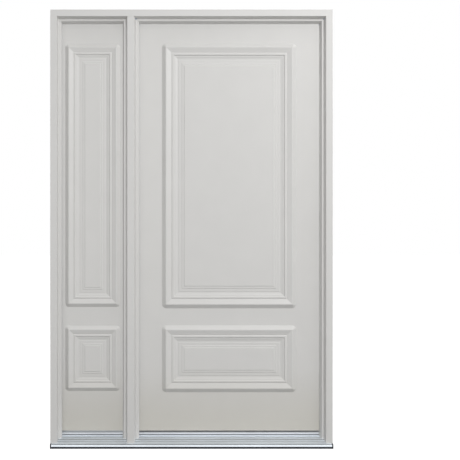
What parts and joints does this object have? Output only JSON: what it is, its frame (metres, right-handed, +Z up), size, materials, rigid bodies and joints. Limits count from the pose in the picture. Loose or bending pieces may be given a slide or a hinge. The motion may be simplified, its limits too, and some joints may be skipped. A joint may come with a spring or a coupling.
{
  "type": "entrance door unit with sidelight",
  "caption": "Inswing entrance door with moulded panels and a fixed panelled sidelight, in a stepped clad frame on a sloping aluminium sill.",
  "frame": {"origin": "on the sill's underside, at mid width, in the plane of the frame's outside face", "axes": "+Z up, +Y inwards into the building, +X to the right seen from outside"},
  "size_m": [1.363, 0.1742, 2.1156],
  "materials": {
    "frame_paint": "smooth clad frame boards, factory painted off-white",
    "slab_paint": "smooth pressed skins, satin off-white factory primer",
    "edge_timber": "primed softwood, factory off-white with the grain faintly showing",
    "foam_core": "rigid insulating foam, closed in by the skins",
    "sill_metal": "mill-finish extruded aluminium, fine length-wise lines",
    "threshold_metal": "mill-finish extruded aluminium",
    "sill_composite": "near-black composite",
    "weatherstrip": "blue-grey foam-filled seal",
    "sweep_rubber": "black vinyl sweep with fins",
    "hinge_steel": "satin steel butt hinges"
  },
  "bodies": {
    "frame": {"left_jamb": "frame_paint", "right_jamb": "frame_paint", "head_jamb": "frame_paint", "mullion_post": "frame_paint", "mullion_cover": "frame_paint", "left_stop": "frame_paint", "right_stop": "frame_paint", "mullion_door_stop": "frame_paint", "mullion_sidelight_stop": "frame_paint", "head_door_stop": "frame_paint", "head_sidelight_stop": "frame_paint", "sidelight_exterior_skin": "slab_paint", "sidelight_interior_skin": "slab_paint", "sidelight_upper_panel_outside": "slab_paint", "sidelight_lower_panel_outside": "slab_paint", "sidelight_upper_panel_inside": "slab_paint", "sidelight_lower_panel_inside": "slab_paint", "sidelight_stiles": "edge_timber", "sidelight_rails": "edge_timber", "sidelight_core": "foam_core", "sill_tread": "sill_metal", "door_threshold": "threshold_metal", "sidelight_threshold": "threshold_metal", "sill_base": "sill_composite", "sill_end_caps": "sill_composite", "latch_side_weatherstrip": "weatherstrip", "hinge_side_weatherstrip": "weatherstrip", "head_weatherstrip": "weatherstrip", "sidelight_seal": "weatherstrip", "hinge_frame_leaves": "hinge_steel", "hinge_pins": "hinge_steel"},
    "door": {"door_exterior_skin": "slab_paint", "door_interior_skin": "slab_paint", "door_upper_panel_outside": "slab_paint", "door_lower_panel_outside": "slab_paint", "door_upper_panel_inside": "slab_paint", "door_lower_panel_inside": "slab_paint", "door_hinge_stile": "edge_timber", "door_latch_stile": "edge_timber", "door_top_rail": "edge_timber", "door_bottom_rail": "edge_timber", "door_core": "foam_core", "door_sweep": "sweep_rubber", "hinge_door_leaves": "hinge_steel"}
  },
  "joints": [
    {"name": "door_swing", "type": "hinge", "parent": "frame", "child": "door", "pos_m": [0.6465, 0.1515, 0.3391], "axis": [0, 0, -1], "range_deg": [0, 105]}
  ]
}
